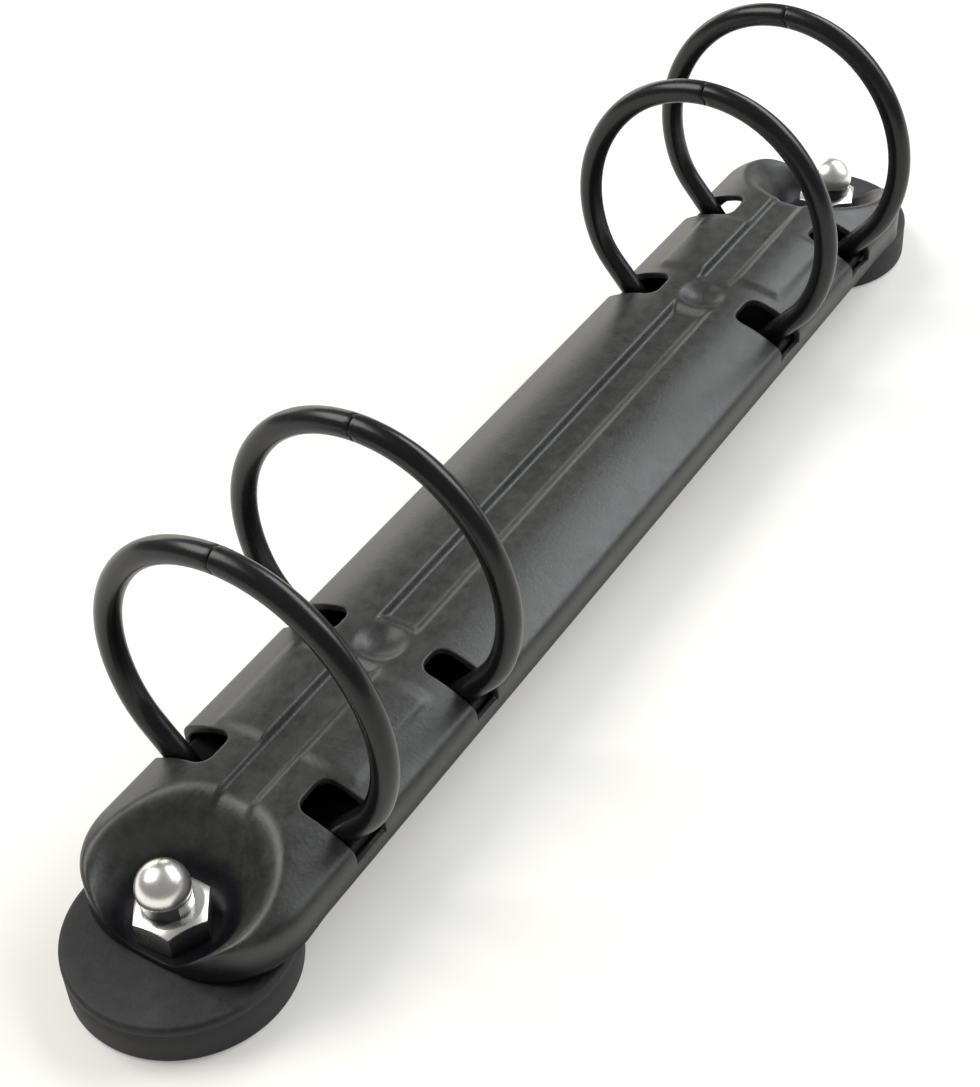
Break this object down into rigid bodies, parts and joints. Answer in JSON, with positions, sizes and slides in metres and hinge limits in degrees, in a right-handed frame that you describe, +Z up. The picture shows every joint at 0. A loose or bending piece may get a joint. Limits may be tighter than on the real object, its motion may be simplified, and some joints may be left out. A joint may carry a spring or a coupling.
{
  "type": "ring binder mechanism",
  "caption": "Black ring binder mechanism: round snap rings on two hinge rails under a domed pressed cover, held on magnet feet by cap nuts.",
  "frame": {"origin": "midway between the two magnet feet, on the surface they stand on", "axes": "+X along the mechanism from the near end to the far end, +Y towards the left rings, +Z up"},
  "size_m": [0.162, 0.034, 0.0416],
  "materials": {
    "sheet_black": "satin",
    "wire_black": "satin",
    "rubber_black": "matte",
    "bright_zinc": "bright"
  },
  "bodies": {
    "base": {"cover": "sheet_black", "magnet_disc_near": "rubber_black", "magnet_disc_far": "rubber_black", "stud_near": "bright_zinc", "stud_far": "bright_zinc", "cap_nut_near": "bright_zinc", "cap_nut_far": "bright_zinc"},
    "left_rings": {"rail_left": "sheet_black", "ring_half_left_1": "wire_black", "ring_half_left_2": "wire_black", "ring_half_left_3": "wire_black", "ring_half_left_4": "wire_black"},
    "right_rings": {"rail_right": "sheet_black", "ring_half_right_1": "wire_black", "ring_half_right_2": "wire_black", "ring_half_right_3": "wire_black", "ring_half_right_4": "wire_black"}
  },
  "joints": [
    {"name": "right_swing", "type": "hinge", "parent": "base", "child": "right_rings", "pos_m": [0, -0.01055, 0.0086], "axis": [1, 0, 0], "range_deg": [0, 17]},
    {"name": "left_swing", "type": "hinge", "parent": "base", "child": "left_rings", "pos_m": [0, 0.01055, 0.0086], "axis": [-1, 0, 0], "range_deg": [0, 17]}
  ],
  "couplings": [
    {"joint": "left_swing", "follows": "right_swing", "ratio": 1}
  ]
}
